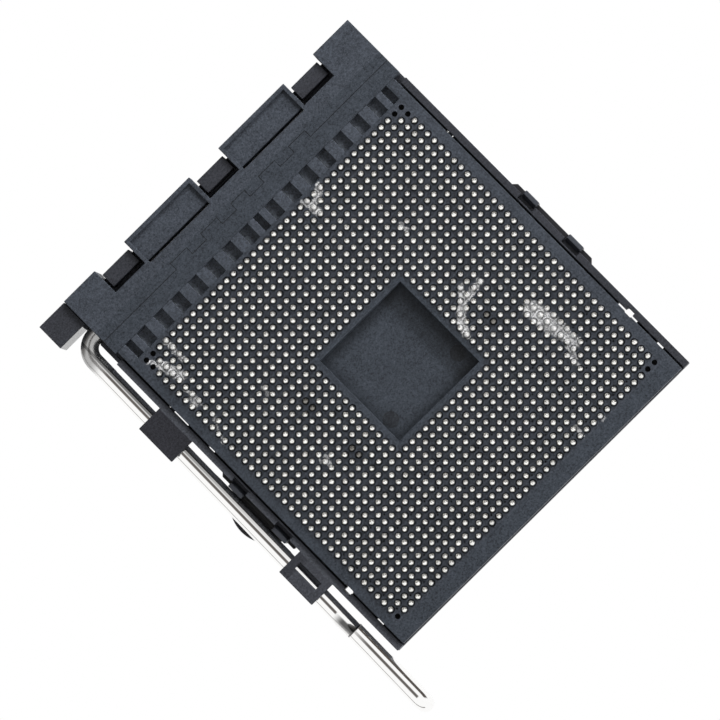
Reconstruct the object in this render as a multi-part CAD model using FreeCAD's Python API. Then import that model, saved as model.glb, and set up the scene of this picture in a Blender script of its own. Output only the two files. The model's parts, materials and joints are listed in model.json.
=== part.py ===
"""Zero-insertion-force processor socket: a moulded base on a grid of solder balls, a sliding cover
that a cranked steel lever drives, and a pick-up cap clipped over the cover.

Millimetres. +Z points up, away from the circuit board. The origin is the centre of the ball grid on
the board's surface, +Y points to the cam head and +X to the lever.
"""

import math
import os

import FreeCAD
import Part

Vector = FreeCAD.Vector

# Ball grid
PITCH = 1.0
GRID_ROWS = 39
VOID_ROWS = 13
BALL_HEIGHT = 0.45
BALL_RADIUS = 0.32
STANDING_ROWS = 2

# Base plate
BASE_MARGIN_X = 1.6
BASE_MARGIN_FRONT = 2.45
BASE_THICKNESS = 1.6
RECESS_DEPTH = 1.15
RECESS_SHORT_OF_BALLS = 0.55
EJECTOR_RADIUS = 0.9
EJECTOR_DEPTH = 0.05
EJECTOR_EDGE_GAP = 0.05
EJECTOR_Y = -3.65
GROOVE_DEPTH = 0.45
GROOVE_HEIGHT = 0.4
GROOVE_LIP = 0.75

# Row of pockets between the ball grid and the cam head
POCKET_PAIRS = 7
POCKET_BAR = 1.28
NARROW_POCKET = 0.8
NARROW_BAR = 0.85
POCKET_WIDTH = 2.0
POCKET_DEPTH = 1.0
POCKET_ROW_PAST_BALLS = 0.45
POCKET_AFTER_BALLS = 0.8

# Cam head of the base
HEAD_LEFT_LAP = 0.9
HEAD_RIGHT_LAP = 0.3
HEAD_WIDTH = 7.85
HEAD_DROP = 0.1
HEAD_FLOOR = 0.8
HEAD_PARTING_RISE = 0.5
HEAD_STEP = 0.4
NOTCH_DEPTH = 3.2
NOTCH_CENTRE_X = 14.1
NOTCH_SIDE_WIDTH = 4.4
NOTCH_MIDDLE_WIDTH = 4.35
TRAY_RIM = 0.45
TRAY_DEPTH = 0.45
FLANGE_SLOT_WIDTH = 0.35

# Sliding cover
COVER_TRAVEL = 0.55
SLIDE_GAP = 0.1
COVER_THICKNESS = 1.6
RAIL_GAP = 0.2
RAIL_WIDTH = 0.8
RAIL_DROP = 1.15
COVER_FRONT_LAP = 0.1
WINDOW_SIDE = 10.8
HEAD_RISE = 2.05
HEAD_FRONT_LAP = 0.8
HEAD_BACK_INSET = 1.1
TONGUE_LENGTH = 0.6
TONGUE_YS = (13.4, 1.0, -9.4, -16.6)
CORE_SLOTS_RIGHT = ((11.1, 14.0), (7.1, 8.0), (-18.5, -17.6))
CORE_SLOTS_LEFT = ((13.1, 14.0), (-14.6, -11.8), (-18.5, -17.6))
CORE_SLOT_OVER_BASE = 0.3
CORE_SLOT_OVER_RAIL = 0.25
LIGHT_SLOT_Y = -13.4
LIGHT_SLOT_LENGTH = 0.9
LIGHT_SLOT_INTO_BASE = 0.1
LIGHT_SLOT_INTO_RAIL = 0.35
BLOCK_SIDE_GAP = 0.26
BLOCK_BACK_INSET = 0.8
EAR_REACH = 3.1
EAR_GAP = 0.45
SIDE_WALL_DROP = 0.65
SIDE_WALL_WIDTH = 0.45
INDEX_MARK = 1.6
INDEX_MARK_DEPTH = 0.25

# Lever
WIRE = 1.95
CAM_INSET = 1.45
CAM_RISE = 0.05
LEVER_SWEEP = 90.0
SHAFT_SHORT_OF_HEAD = 3.0
ARM_GAP = 0.555
ARM_LEAN = 0.44
ARM_OVERHANG = 6.9
ARM_BEND = 2.0
CRANK_INNER_X = 2.8
CRANK_OUTER_X = 11.2
CRANK_SLOPE = 1.0
RETURN_LENGTH = 11.55
JOG_AHEAD_OF_RETURN = 0.5
JOG_LENGTH = 2.0
JOG_RISE = 0.85
HAIRPIN_GAP = 0.07
WIRE_JOINT_TURN = 30.0

# Ledges of the cover under the lever
LEDGE_REACH = 3.1
LEDGE_THICKNESS = 0.55
LEDGES = ((9.5, 14.45), (-11.74, -6.83))
LEDGE_SLOT_INSET_X = 0.8
LEDGE_SLOT_WIDTH = 0.85
LEDGE_SLOT_INSET_Y = 0.87
LATCH_REACH = 0.7
LATCH_HEIGHT = 0.75
LATCH_INSET = 0.6

# Steel cam plates
STEEL = 0.45
STRIP = 0.3
PLATE_GAP = 0.1
LUG_SIDE_GAP = 0.15
FLANGE_MARGIN = 0.4
FLANGE_TOP_GAP = 0.2
CAM_CLEARANCE = 0.05
WIRE_EXIT_CLEARANCE = 0.2
JOURNAL_CLEARANCE = 0.035
CRANK_TOP_GAP = 0.1
WEB_LAP = 0.5

# Pick-up cap
CAP_GAP = 0.05
CAP_THICKNESS = 1.0
CAP_OVERHANG = 0.5
CAP_BACK_Y = 5.7
CAP_FRONT_Y = -7.2
CAP_CORNER = 0.9
CAP_SHORT_SIDE = 1.15
TAB_RADIUS = 4.2
TAB_INSET = 1.5
TAB_RELIEF = 0.15
HOOKS = ((1.57, 3.5), (-5.1, -3.04))
HOOK_GAP = 0.1
HOOK_THICKNESS = 0.55
HOOK_FOOT = 0.2
BARB_REACH = 0.35
BARB_HEIGHT = 0.45
HOOK_WINDOW_DEPTH = 0.6
HOOK_WINDOW_DROP = 1.55
HOOK_WINDOW_MARGIN = 0.1

# Ball grid and base plate that follow
LAST_ROW = GRID_ROWS // 2
LAST_VOID_ROW = VOID_ROWS // 2
GRID_HALF = LAST_ROW * PITCH
RECESS_HALF = VOID_ROWS / 2 * PITCH - RECESS_SHORT_OF_BALLS
PLATE_HALF_X = GRID_HALF + BASE_MARGIN_X
PLATE_FRONT_Y = -GRID_HALF - BASE_MARGIN_FRONT
PLATE_TOP = BALL_HEIGHT + BASE_THICKNESS
GROOVE_BOTTOM = BALL_HEIGHT + GROOVE_LIP
POCKET_FRONT_Y = GRID_HALF + POCKET_AFTER_BALLS

# Edges and levels of the cam head that follow
HEAD_INNER_Y = POCKET_FRONT_Y + POCKET_WIDTH
HEAD_OUTER_Y = HEAD_INNER_Y + HEAD_WIDTH
HEAD_LEFT_X = -PLATE_HALF_X - HEAD_LEFT_LAP
HEAD_RIGHT_X = PLATE_HALF_X + HEAD_RIGHT_LAP
HEAD_UNDER = BALL_HEIGHT - HEAD_DROP
HEAD_PARTING = PLATE_TOP + HEAD_PARTING_RISE
CHAMBER_FLOOR = HEAD_UNDER + HEAD_FLOOR
NOTCH_Y = HEAD_OUTER_Y - NOTCH_DEPTH
NOTCH_OUTER_X = NOTCH_CENTRE_X + NOTCH_SIDE_WIDTH / 2

# Edges and levels of the cover that follow
COVER_UNDER = PLATE_TOP + SLIDE_GAP
COVER_TOP = COVER_UNDER + COVER_THICKNESS
COVER_FRONT_Y = PLATE_FRONT_Y - COVER_FRONT_LAP
RAIL_INNER_X = PLATE_HALF_X + RAIL_GAP
RAIL_OUTER_X = RAIL_INNER_X + RAIL_WIDTH
RAIL_UNDER = COVER_UNDER - RAIL_DROP
HEAD_COVER_UNDER = HEAD_PARTING + SLIDE_GAP
HEAD_FRONT_Y = HEAD_INNER_Y - HEAD_FRONT_LAP
HEAD_TOP = COVER_TOP + HEAD_RISE
SIDE_WALL_X = HEAD_RIGHT_X + SLIDE_GAP
HEAD_COVER_RIGHT_X = SIDE_WALL_X + SIDE_WALL_WIDTH

# Lever and cam plates that follow
WIRE_RADIUS = WIRE / 2
CAM_Y = NOTCH_Y - CAM_INSET
CAM_Z = HEAD_PARTING + CAM_RISE
SHAFT_END_X = HEAD_LEFT_X + SHAFT_SHORT_OF_HEAD
ARM_ROOT_X = RAIL_OUTER_X + ARM_GAP + WIRE_RADIUS
ARM_TIP_Y = COVER_FRONT_Y - ARM_OVERHANG
RETURN_END_Y = ARM_TIP_Y + RETURN_LENGTH
JOG_END_Y = RETURN_END_Y + JOG_AHEAD_OF_RETURN
JOG_START_Y = JOG_END_Y + JOG_LENGTH
HAIRPIN_RADIUS = WIRE_RADIUS + HAIRPIN_GAP / 2
EAR_FRONT_Y = CAM_Y + WIRE_RADIUS + EAR_GAP
HALF_SWEEP = math.radians(LEVER_SWEEP / 2)
CRANK_SHIFT = COVER_TRAVEL / (2 * math.sin(HALF_SWEEP))
CRANK_DY = -CRANK_SHIFT * math.sin(HALF_SWEEP)
CRANK_DZ = CRANK_SHIFT * math.cos(HALF_SWEEP)
PLATE_HALF_LENGTH = CRANK_OUTER_X + CRANK_SLOPE + LUG_SIDE_GAP + STEEL
CHAMBER_HALF = PLATE_HALF_LENGTH + PLATE_GAP
FLANGE_FRONT_Y = CAM_Y + CRANK_DY - WIRE_RADIUS - CAM_CLEARANCE
FLANGE_BACK_Y = CAM_Y + CRANK_DY + WIRE_RADIUS + CAM_CLEARANCE
CHAMBER_FRONT_Y = FLANGE_FRONT_Y - STEEL - PLATE_GAP
CHAMBER_BACK_Y = FLANGE_BACK_Y + STEEL + COVER_TRAVEL + PLATE_GAP
WEB_UNDER = CAM_Z + CRANK_SHIFT + WIRE_RADIUS + CRANK_TOP_GAP
FLANGE_TOP = WEB_UNDER - FLANGE_TOP_GAP

# Pick-up cap that follows
CAP_UNDER = COVER_TOP + CAP_GAP
CAP_TOP = CAP_UNDER + CAP_THICKNESS
CAP_EDGE_X = RAIL_OUTER_X + CAP_OVERHANG
HOOK_INNER_X = RAIL_OUTER_X + HOOK_GAP
HOOK_WINDOW_TOP = COVER_TOP - HOOK_WINDOW_DROP
BARB_TOP = HOOK_WINDOW_TOP - SLIDE_GAP
HOOK_UNDER = BARB_TOP - BARB_HEIGHT - HOOK_FOOT


def box(x0, x1, y0, y1, z0, z1):
    """A block between two corners."""
    return Part.makeBox(x1 - x0, y1 - y0, z1 - z0, Vector(x0, y0, z0))


def prism(points, z0, z1):
    """An outline of (x, y) points raised from one level to another."""
    corners = [Vector(x, y, z0) for x, y in points]
    face = Part.Face(Part.makePolygon(corners + corners[:1]))
    return face.extrude(Vector(0, 0, z1 - z0))


def along_x(radius, x0, x1, y, z):
    """A round bar parallel to X."""
    return Part.makeCylinder(radius, x1 - x0, Vector(x0, y, z), Vector(1, 0, 0))


def mirrored(shape):
    """The shape's twin on the other side of the middle plane X = 0."""
    return shape.mirror(Vector(0, 0, 0), Vector(1, 0, 0))


def pocketed(body, cuts):
    """The body less every cut, with its leftover seams removed."""
    return body.cut(cuts).removeSplitter()


def joined(first, others):
    """One solid of touching or overlapping blocks, with its leftover seams removed."""
    return first.fuse(others).removeSplitter()


def bent_path(points, bends):
    """The points with each corner that has a bend radius replaced by chords of a tangent arc.

    A corner with no radius stays a sharp mitre.
    """
    path = points[:1]
    for before, corner, after, radius in zip(points, points[1:], points[2:], bends):
        if not radius:
            path.append(corner)
            continue
        inward = (corner - before).normalize()
        outward = (after - corner).normalize()
        turn = inward.getAngle(outward)
        towards = (outward - inward).normalize()
        centre = corner + towards * (radius / math.cos(turn / 2))
        start = corner - inward * (radius * math.tan(turn / 2)) - centre
        path += chords(centre, start, inward.cross(outward), math.degrees(turn))
    return path + points[-1:]


def chords(centre, start, axis, degrees):
    """Points along an arc about the axis, so that chords through them leave the runs before and after
    the arc in line, and each joint turns by the same angle."""
    steps = round(degrees / WIRE_JOINT_TURN)
    turn = degrees / steps
    grow = 1 / math.cos(math.radians(turn / 2))
    corners = []
    for i in range(steps):
        spin = FreeCAD.Rotation(axis, turn * (i + 0.5))
        corners.append(centre + spin.multVec(start) * grow)
    return corners


def swept_wire(path, radius):
    """Round wire of one radius along straight runs, mitred where they meet."""
    heading = path[1] - path[0]
    ring = Part.Wire(Part.makeCircle(radius, path[0], heading))
    return Part.makePolygon(path).makePipeShell([ring], True, False, 1)


def key_holes():
    """Empty places that key the grid: three at each corner of the cam side, one and two at the other."""
    last, before = LAST_ROW, LAST_ROW - 1
    for side in (-1, 1):
        yield side * last, last
        yield side * before, last
        yield side * last, before
        yield side * last, -last
    yield -before, -last


def ball_places():
    """Every filled place of the grid: all but the middle square and the key holes."""
    empty = set(key_holes())
    for column in range(-LAST_ROW, LAST_ROW + 1):
        for row in range(-LAST_ROW, LAST_ROW + 1):
            in_void = abs(column) <= LAST_VOID_ROW and abs(row) <= LAST_VOID_ROW
            if not in_void and (column, row) not in empty:
                yield column, row


def solder_ball():
    """A ball as eight facets: flat where it stands on the board and flat where it meets the base."""
    third = FreeCAD.Rotation(Vector(0, 0, 1), 120)
    sixth = FreeCAD.Rotation(Vector(0, 0, 1), 60)
    lower = [Vector(BALL_RADIUS, 0, 0)]
    upper = [sixth.multVec(lower[0]) + Vector(0, 0, BALL_HEIGHT)]
    for _ in range(2):
        lower.append(third.multVec(lower[-1]))
        upper.append(third.multVec(upper[-1]))
    outlines = [lower[::-1], upper]
    for i in range(3):
        following = (i + 1) % 3
        outlines.append([lower[i], lower[following], upper[i]])
        outlines.append([upper[i], lower[following], upper[following]])
    faces = [Part.Face(Part.makePolygon(outline + outline[:1])) for outline in outlines]
    return Part.Solid(Part.Shell(faces))


def solder_balls():
    """The balls of the grid in two groups: the outermost at the corners, which stand level with all
    the others, and the rest."""
    ball = solder_ball()
    edge = LAST_ROW - STANDING_ROWS
    corner, field = [], []
    for column, row in ball_places():
        placed = ball.translated(Vector(column * PITCH, row * PITCH, 0))
        at_corner = abs(column) >= edge and abs(row) >= edge
        (corner if at_corner else field).append(placed)
    return Part.Compound(corner), Part.Compound(field)


def pocket_row():
    """The pockets beside the cam head: a narrow one in the middle and at each end, full ones between.

    The bars between them have set widths, and the full pockets share what is left of the row.
    """
    half_row = GRID_HALF + POCKET_ROW_PAST_BALLS
    taken = 1.5 * NARROW_POCKET + 2 * NARROW_BAR + (POCKET_PAIRS - 1) * POCKET_BAR
    length = (half_row - taken) / POCKET_PAIRS
    spans = [(-NARROW_POCKET / 2, NARROW_POCKET / 2)]
    start = NARROW_POCKET / 2 + NARROW_BAR
    for _ in range(POCKET_PAIRS):
        spans += [(start, start + length), (-start - length, -start)]
        start += length + POCKET_BAR
    spans += [(half_row - NARROW_POCKET, half_row), (-half_row, NARROW_POCKET - half_row)]
    top = BALL_HEIGHT + POCKET_DEPTH
    return [box(x0, x1, POCKET_FRONT_Y, HEAD_INNER_Y, BALL_HEIGHT, top) for x0, x1 in spans]


def notches():
    """(low X, high X) of the three notches in the head's outer edge."""
    inner = NOTCH_OUTER_X - NOTCH_SIDE_WIDTH
    middle = NOTCH_MIDDLE_WIDTH / 2
    return (inner, NOTCH_OUTER_X), (-middle, middle), (-NOTCH_OUTER_X, -inner)


def base_housing():
    """Base plate with the cam head's lower half."""
    step_y = HEAD_INNER_Y + HEAD_STEP
    plate = box(-PLATE_HALF_X, PLATE_HALF_X, PLATE_FRONT_Y, step_y, BALL_HEIGHT, PLATE_TOP)
    head_foot = box(HEAD_LEFT_X, HEAD_RIGHT_X, HEAD_INNER_Y, HEAD_OUTER_Y, HEAD_UNDER, PLATE_TOP)
    head = box(HEAD_LEFT_X, HEAD_RIGHT_X, step_y, HEAD_OUTER_Y, PLATE_TOP, HEAD_PARTING)
    body = joined(plate, [head_foot, head])

    cuts = pocket_row() + recess_cuts() + tray_cuts() + cam_chamber_cuts()
    for x0, x1 in notches():
        cuts.append(box(x0, x1, NOTCH_Y, HEAD_OUTER_Y, HEAD_UNDER, HEAD_PARTING))
    groove = box(
        PLATE_HALF_X - GROOVE_DEPTH,
        PLATE_HALF_X,
        PLATE_FRONT_Y,
        GRID_HALF,
        GROOVE_BOTTOM,
        GROOVE_BOTTOM + GROOVE_HEIGHT,
    )
    light = light_slot(BALL_HEIGHT, PLATE_TOP)
    return pocketed(body, cuts + [groove, mirrored(groove), light, mirrored(light)])


def recess_cuts():
    """The square recess in the middle of the ball grid, with two round ejector marks in its floor."""
    top = BALL_HEIGHT + RECESS_DEPTH
    mark_x = RECESS_HALF - EJECTOR_EDGE_GAP - EJECTOR_RADIUS
    cuts = [box(-RECESS_HALF, RECESS_HALF, -RECESS_HALF, RECESS_HALF, BALL_HEIGHT, top)]
    for x in (-mark_x, mark_x):
        foot = Vector(x, EJECTOR_Y, BALL_HEIGHT)
        cuts.append(Part.makeCylinder(EJECTOR_RADIUS, RECESS_DEPTH + EJECTOR_DEPTH, foot))
    return cuts


def light_slot(bottom, top):
    """A short slot over the gap between base and rail, which can be seen through from below."""
    return box(
        PLATE_HALF_X - LIGHT_SLOT_INTO_BASE,
        RAIL_INNER_X + LIGHT_SLOT_INTO_RAIL,
        LIGHT_SLOT_Y - LIGHT_SLOT_LENGTH / 2,
        LIGHT_SLOT_Y + LIGHT_SLOT_LENGTH / 2,
        bottom,
        top,
    )


def tray_cuts():
    """The two shallow trays under the head, each with its slot into the cam chamber."""
    inner = NOTCH_MIDDLE_WIDTH / 2 + TRAY_RIM
    outer = NOTCH_OUTER_X - NOTCH_SIDE_WIDTH - TRAY_RIM
    back = HEAD_OUTER_Y - TRAY_RIM
    tray = box(inner, outer, NOTCH_Y, back, HEAD_UNDER, HEAD_UNDER + TRAY_DEPTH)
    slot = box(inner, outer, NOTCH_Y - FLANGE_SLOT_WIDTH, NOTCH_Y, HEAD_UNDER, CHAMBER_FLOOR)
    return [tray, slot, mirrored(tray), mirrored(slot)]


def cam_chamber_cuts():
    """Room in the base head for the lower cam plate, and a channel each side for the lever's shaft.

    The shaft rides with the cover, so its channel is wider than the shaft by the cover's travel.
    """
    chamber = box(-CHAMBER_HALF, CHAMBER_HALF, CHAMBER_FRONT_Y, NOTCH_Y, CHAMBER_FLOOR, HEAD_PARTING)
    reach = WIRE_RADIUS + CAM_CLEARANCE
    front, back = CAM_Y - reach - COVER_TRAVEL, CAM_Y + reach
    channel = box(SHAFT_END_X - PLATE_GAP, HEAD_RIGHT_X, front, back, CAM_Z - reach, HEAD_PARTING)
    return [chamber, channel]


def crank_flange_spans():
    """(low X, high X) where the base's flanges stand beside a crank."""
    low, high = CRANK_INNER_X + FLANGE_MARGIN, CRANK_OUTER_X - FLANGE_MARGIN
    return (low, high), (-high, -low)


def base_cam_plate():
    """Steel strip on the chamber's floor, with two pairs of flanges that hold the cranks in Y."""
    front, back = FLANGE_FRONT_Y - STEEL, FLANGE_BACK_Y + STEEL
    half = PLATE_HALF_LENGTH
    strip = box(-half, half, front, back, CHAMBER_FLOOR, CHAMBER_FLOOR + STRIP)
    flanges = []
    for x0, x1 in crank_flange_spans():
        for y in (front, FLANGE_BACK_Y):
            flanges.append(box(x0, x1, y, y + STEEL, CHAMBER_FLOOR, FLANGE_TOP))
    return joined(strip, flanges)


def journal_lug_spans():
    """(low X, high X) of the four lugs of the upper cam plate that bear on the shaft."""
    inner = CRANK_INNER_X - CRANK_SLOPE - LUG_SIDE_GAP
    for x in (PLATE_HALF_LENGTH, inner):
        yield x - STEEL, x
        yield -x, STEEL - x


def cover_cam_plate():
    """Steel web in the cover's head, with lugs that sit astride the lever's journals."""
    half = WIRE_RADIUS + JOURNAL_CLEARANCE + STEEL
    lugs = [
        box(x0, x1, CAM_Y - half, CAM_Y + half, HEAD_COVER_UNDER, WEB_UNDER)
        for x0, x1 in journal_lug_spans()
    ]
    seat = along_x(WIRE_RADIUS + JOURNAL_CLEARANCE, -PLATE_HALF_LENGTH, PLATE_HALF_LENGTH, CAM_Y, CAM_Z)
    return pocketed(joined(cam_web(), lugs), [seat])


def cam_web():
    """The flat strip of the upper cam plate, held along both edges in the cover's head."""
    front, back = CHAMBER_FRONT_Y - WEB_LAP, CHAMBER_BACK_Y + WEB_LAP
    return box(-PLATE_HALF_LENGTH, PLATE_HALF_LENGTH, front, back, WEB_UNDER, WEB_UNDER + STEEL)


def slide_cover():
    """Cover plate with side rails, cam head, lever ledges and the ear beside the lever's bend."""
    plate = box(-RAIL_OUTER_X, RAIL_OUTER_X, COVER_FRONT_Y, HEAD_FRONT_Y, COVER_UNDER, COVER_TOP)
    rail = box(RAIL_INNER_X, RAIL_OUTER_X, COVER_FRONT_Y, HEAD_FRONT_Y, RAIL_UNDER, COVER_UNDER)
    additions = [rail, mirrored(rail)] + cover_head() + cover_tongues() + lever_ledges()
    return pocketed(joined(plate, additions), cover_cuts() + cam_room() + rail_cuts())


def cover_head():
    """Roof over the cam, with a front lap, corners, blocks in the base's notches and the ear."""
    left, right = HEAD_LEFT_X, HEAD_COVER_RIGHT_X
    back = HEAD_OUTER_Y - HEAD_BACK_INSET
    lap_y = HEAD_INNER_Y + HEAD_STEP - SLIDE_GAP
    wall_under = HEAD_COVER_UNDER - SIDE_WALL_DROP
    pieces = [
        box(left, right, HEAD_FRONT_Y, back, HEAD_COVER_UNDER, HEAD_TOP),
        box(left, right, HEAD_FRONT_Y, lap_y, COVER_UNDER, HEAD_COVER_UNDER),
        box(NOTCH_OUTER_X, right, back, HEAD_OUTER_Y, HEAD_COVER_UNDER, HEAD_TOP),
        box(left, -NOTCH_OUTER_X, back, HEAD_OUTER_Y, HEAD_COVER_UNDER, HEAD_TOP),
        box(SIDE_WALL_X, right, HEAD_FRONT_Y, EAR_FRONT_Y, wall_under, HEAD_COVER_UNDER),
        box(SIDE_WALL_X, RAIL_OUTER_X + EAR_REACH, EAR_FRONT_Y, HEAD_OUTER_Y, RAIL_UNDER, HEAD_TOP),
    ]
    block_y0, block_y1 = NOTCH_Y + COVER_TRAVEL + SLIDE_GAP, HEAD_OUTER_Y - BLOCK_BACK_INSET
    for x0, x1 in notches():
        x0, x1 = x0 + BLOCK_SIDE_GAP, x1 - BLOCK_SIDE_GAP
        pieces.append(box(x0, x1, block_y0, block_y1, RAIL_UNDER, HEAD_TOP))
    return pieces


def cover_tongues():
    """Short tongues on the rails that run in the base's side grooves."""
    clearance = SLIDE_GAP / 2
    bottom, top = GROOVE_BOTTOM + clearance, GROOVE_BOTTOM + GROOVE_HEIGHT - clearance
    inner = PLATE_HALF_X - GROOVE_DEPTH + SLIDE_GAP
    tongues = []
    for y in TONGUE_YS:
        tongue = box(inner, RAIL_INNER_X, y - TONGUE_LENGTH / 2, y + TONGUE_LENGTH / 2, bottom, top)
        tongues += [tongue, mirrored(tongue)]
    return tongues


def lever_ledges():
    """Two ledges below the lever's arm, and a latch nib above the front one."""
    end, top = RAIL_OUTER_X + LEDGE_REACH, RAIL_UNDER + LEDGE_THICKNESS
    pieces = [box(RAIL_OUTER_X, end, y0, y1, RAIL_UNDER, top) for y0, y1 in LEDGES]
    y0, y1 = LEDGES[1]
    pieces.append(
        box(
            RAIL_INNER_X,
            RAIL_OUTER_X + LATCH_REACH,
            y0 + LATCH_INSET,
            y1 - LATCH_INSET,
            COVER_TOP,
            COVER_TOP + LATCH_HEIGHT,
        )
    )
    return pieces


def cover_cuts():
    """Window over the base's middle, index mark at a corner and slot in the front ledge."""
    half = WINDOW_SIDE / 2
    left, front = -RAIL_OUTER_X, COVER_FRONT_Y
    corner = [(left, front), (left + INDEX_MARK, front), (left, front + INDEX_MARK)]
    y0, y1 = LEDGES[1]
    x = RAIL_OUTER_X + LEDGE_SLOT_INSET_X
    inset = LEDGE_SLOT_INSET_Y
    return [
        box(-half, half, -half, half, COVER_UNDER, COVER_TOP),
        prism(corner, COVER_TOP - INDEX_MARK_DEPTH, COVER_TOP),
        box(x, x + LEDGE_SLOT_WIDTH, y0 + inset, y1 - inset, RAIL_UNDER, RAIL_UNDER + LEDGE_THICKNESS),
    ]


def cam_room():
    """Room in the cover's head for the upper cam plate, the cranks and the shaft, out past its wall."""
    seat = WIRE_RADIUS + CAM_CLEARANCE
    leaving = WIRE_RADIUS + WIRE_EXIT_CLEARANCE
    wall_under = HEAD_COVER_UNDER - SIDE_WALL_DROP
    return [
        box(-CHAMBER_HALF, CHAMBER_HALF, CHAMBER_FRONT_Y, CHAMBER_BACK_Y, HEAD_COVER_UNDER, WEB_UNDER),
        cam_web(),
        along_x(seat, SHAFT_END_X - PLATE_GAP, RAIL_OUTER_X, CAM_Y, CAM_Z),
        along_x(leaving, HEAD_RIGHT_X, RAIL_OUTER_X, CAM_Y, CAM_Z),
        box(HEAD_RIGHT_X, RAIL_OUTER_X, CAM_Y - leaving, CAM_Y + leaving, wall_under, CAM_Z),
    ]


def rail_cuts():
    """Core slots, light slots and the windows for the cap's hooks, along both rails."""
    light = light_slot(RAIL_UNDER, COVER_TOP)
    cuts = [light, mirrored(light)]
    cuts += [core_slot(y0, y1) for y0, y1 in CORE_SLOTS_RIGHT]
    cuts += [mirrored(core_slot(y0, y1)) for y0, y1 in CORE_SLOTS_LEFT]
    inner = RAIL_OUTER_X - HOOK_WINDOW_DEPTH
    for y0, y1 in HOOKS:
        y0, y1 = y0 - HOOK_WINDOW_MARGIN, y1 + HOOK_WINDOW_MARGIN
        window = box(inner, RAIL_OUTER_X, y0, y1, RAIL_UNDER, HOOK_WINDOW_TOP)
        cuts += [window, mirrored(window)]
    return cuts


def core_slot(y0, y1):
    """A slot through the cover plate over the gap beside the base, left by the mould's core."""
    inner, outer = PLATE_HALF_X - CORE_SLOT_OVER_BASE, RAIL_INNER_X + CORE_SLOT_OVER_RAIL
    return box(inner, outer, y0, y1, COVER_UNDER, COVER_TOP)


def cam_lever():
    """One steel wire: shaft with two cranks, a right-angle bend, the arm with its jog, and a hairpin."""
    cranked = Vector(0, CRANK_DY, CRANK_DZ)
    axis = Vector(0, CAM_Y, CAM_Z)
    points = [Vector(SHAFT_END_X, 0, 0) + axis]
    bends = []
    for low, high in ((-CRANK_OUTER_X, -CRANK_INNER_X), (CRANK_INNER_X, CRANK_OUTER_X)):
        points.append(Vector(low - CRANK_SLOPE, 0, 0) + axis)
        points.append(Vector(low, 0, 0) + axis + cranked)
        points.append(Vector(high, 0, 0) + axis + cranked)
        points.append(Vector(high + CRANK_SLOPE, 0, 0) + axis)
        bends += [0] * 4
    points.append(Vector(ARM_ROOT_X, CAM_Y, CAM_Z))
    points.append(Vector(arm_x(JOG_START_Y), JOG_START_Y, CAM_Z))
    points.append(Vector(arm_x(JOG_END_Y), JOG_END_Y, CAM_Z + JOG_RISE))
    bends += [ARM_BEND, 0, 0]

    turn_y = ARM_TIP_Y + WIRE_RADIUS + HAIRPIN_RADIUS
    top = Vector(arm_x(turn_y), turn_y, CAM_Z + JOG_RISE)
    drop = Vector(0, 0, -HAIRPIN_RADIUS)
    end = Vector(top.x, RETURN_END_Y, top.z) + drop * 2
    path = bent_path(points + [top], bends)[:-1]
    path += chords(top + drop, -drop, Vector(1, 0, 0), 180)
    return swept_wire(path + [end], WIRE_RADIUS)


def arm_x(y):
    """The arm leans outwards evenly from its root to its tip."""
    return ARM_ROOT_X + ARM_LEAN * (CAM_Y - y) / (CAM_Y - ARM_TIP_Y)


def pickup_cap():
    """Flat strip for a vacuum nozzle, with a finger tab above the lever and four snap hooks."""
    edge, cut = CAP_EDGE_X, CAP_CORNER
    front, back = CAP_FRONT_Y, CAP_BACK_Y
    outline = [
        (-edge + cut, front),
        (edge - cut, front),
        (edge - cut, front + CAP_SHORT_SIDE),
        (edge, front + CAP_SHORT_SIDE),
        (edge, back - cut),
        (edge - cut, back),
        (-edge + cut, back),
        (-edge, back - cut),
        (-edge, front + cut),
    ]
    strip = prism(outline, CAP_UNDER, CAP_TOP)
    tab_centre = Vector(edge - TAB_INSET, (front + back) / 2, CAP_UNDER + TAB_RELIEF)
    pieces = [Part.makeCylinder(TAB_RADIUS, CAP_THICKNESS - TAB_RELIEF, tab_centre)]
    for y0, y1 in HOOKS:
        hook = cap_hook(y0, y1)
        pieces += [hook, mirrored(hook)]
    return joined(strip, pieces)


def cap_hook(y0, y1):
    """A leg down the outside of the rail with a wedge barb under the rail's window edge."""
    leg = box(HOOK_INNER_X, HOOK_INNER_X + HOOK_THICKNESS, y0, y1, HOOK_UNDER, CAP_UNDER)
    outline = [
        Vector(HOOK_INNER_X, y0, BARB_TOP - BARB_HEIGHT),
        Vector(HOOK_INNER_X - BARB_REACH, y0, BARB_TOP),
        Vector(HOOK_INNER_X, y0, BARB_TOP),
    ]
    barb = Part.Face(Part.makePolygon(outline + outline[:1])).extrude(Vector(0, y1 - y0, 0))
    return leg.fuse(barb)


def main():
    """Write one STEP file for each piece."""
    corner_balls, field_balls = solder_balls()
    pieces = {
        "base_housing": base_housing(),
        "corner_solder_balls": corner_balls,
        "solder_balls": field_balls,
        "base_cam_plate": base_cam_plate(),
        "slide_cover": slide_cover(),
        "cover_cam_plate": cover_cam_plate(),
        "cam_lever": cam_lever(),
        "pickup_cap": pickup_cap(),
    }
    os.makedirs("parts", exist_ok=True)
    for name, shape in pieces.items():
        box_of = shape.BoundBox
        print(
            f"{name}: {len(shape.Solids)} solid(s), valid {shape.isValid()}, volume {shape.Volume:.2f}, "
            f"X {box_of.XMin:.2f} to {box_of.XMax:.2f}, Y {box_of.YMin:.2f} to {box_of.YMax:.2f}, "
            f"Z {box_of.ZMin:.2f} to {box_of.ZMax:.2f}"
        )
        shape.exportStep(f"parts/{name}.step")


main()
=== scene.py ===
"""Looks of a zero-insertion-force processor socket, seen from the side that is soldered down.

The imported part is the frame. Its plastic mouldings get edge breaks, the ball pockets and pin holes, its
solder balls become round, its lever becomes one smooth bright wire, and every piece gets its finish.
Lengths in the classes are millimetres, in the part's own frame. Meshes are in metres.
"""

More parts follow.
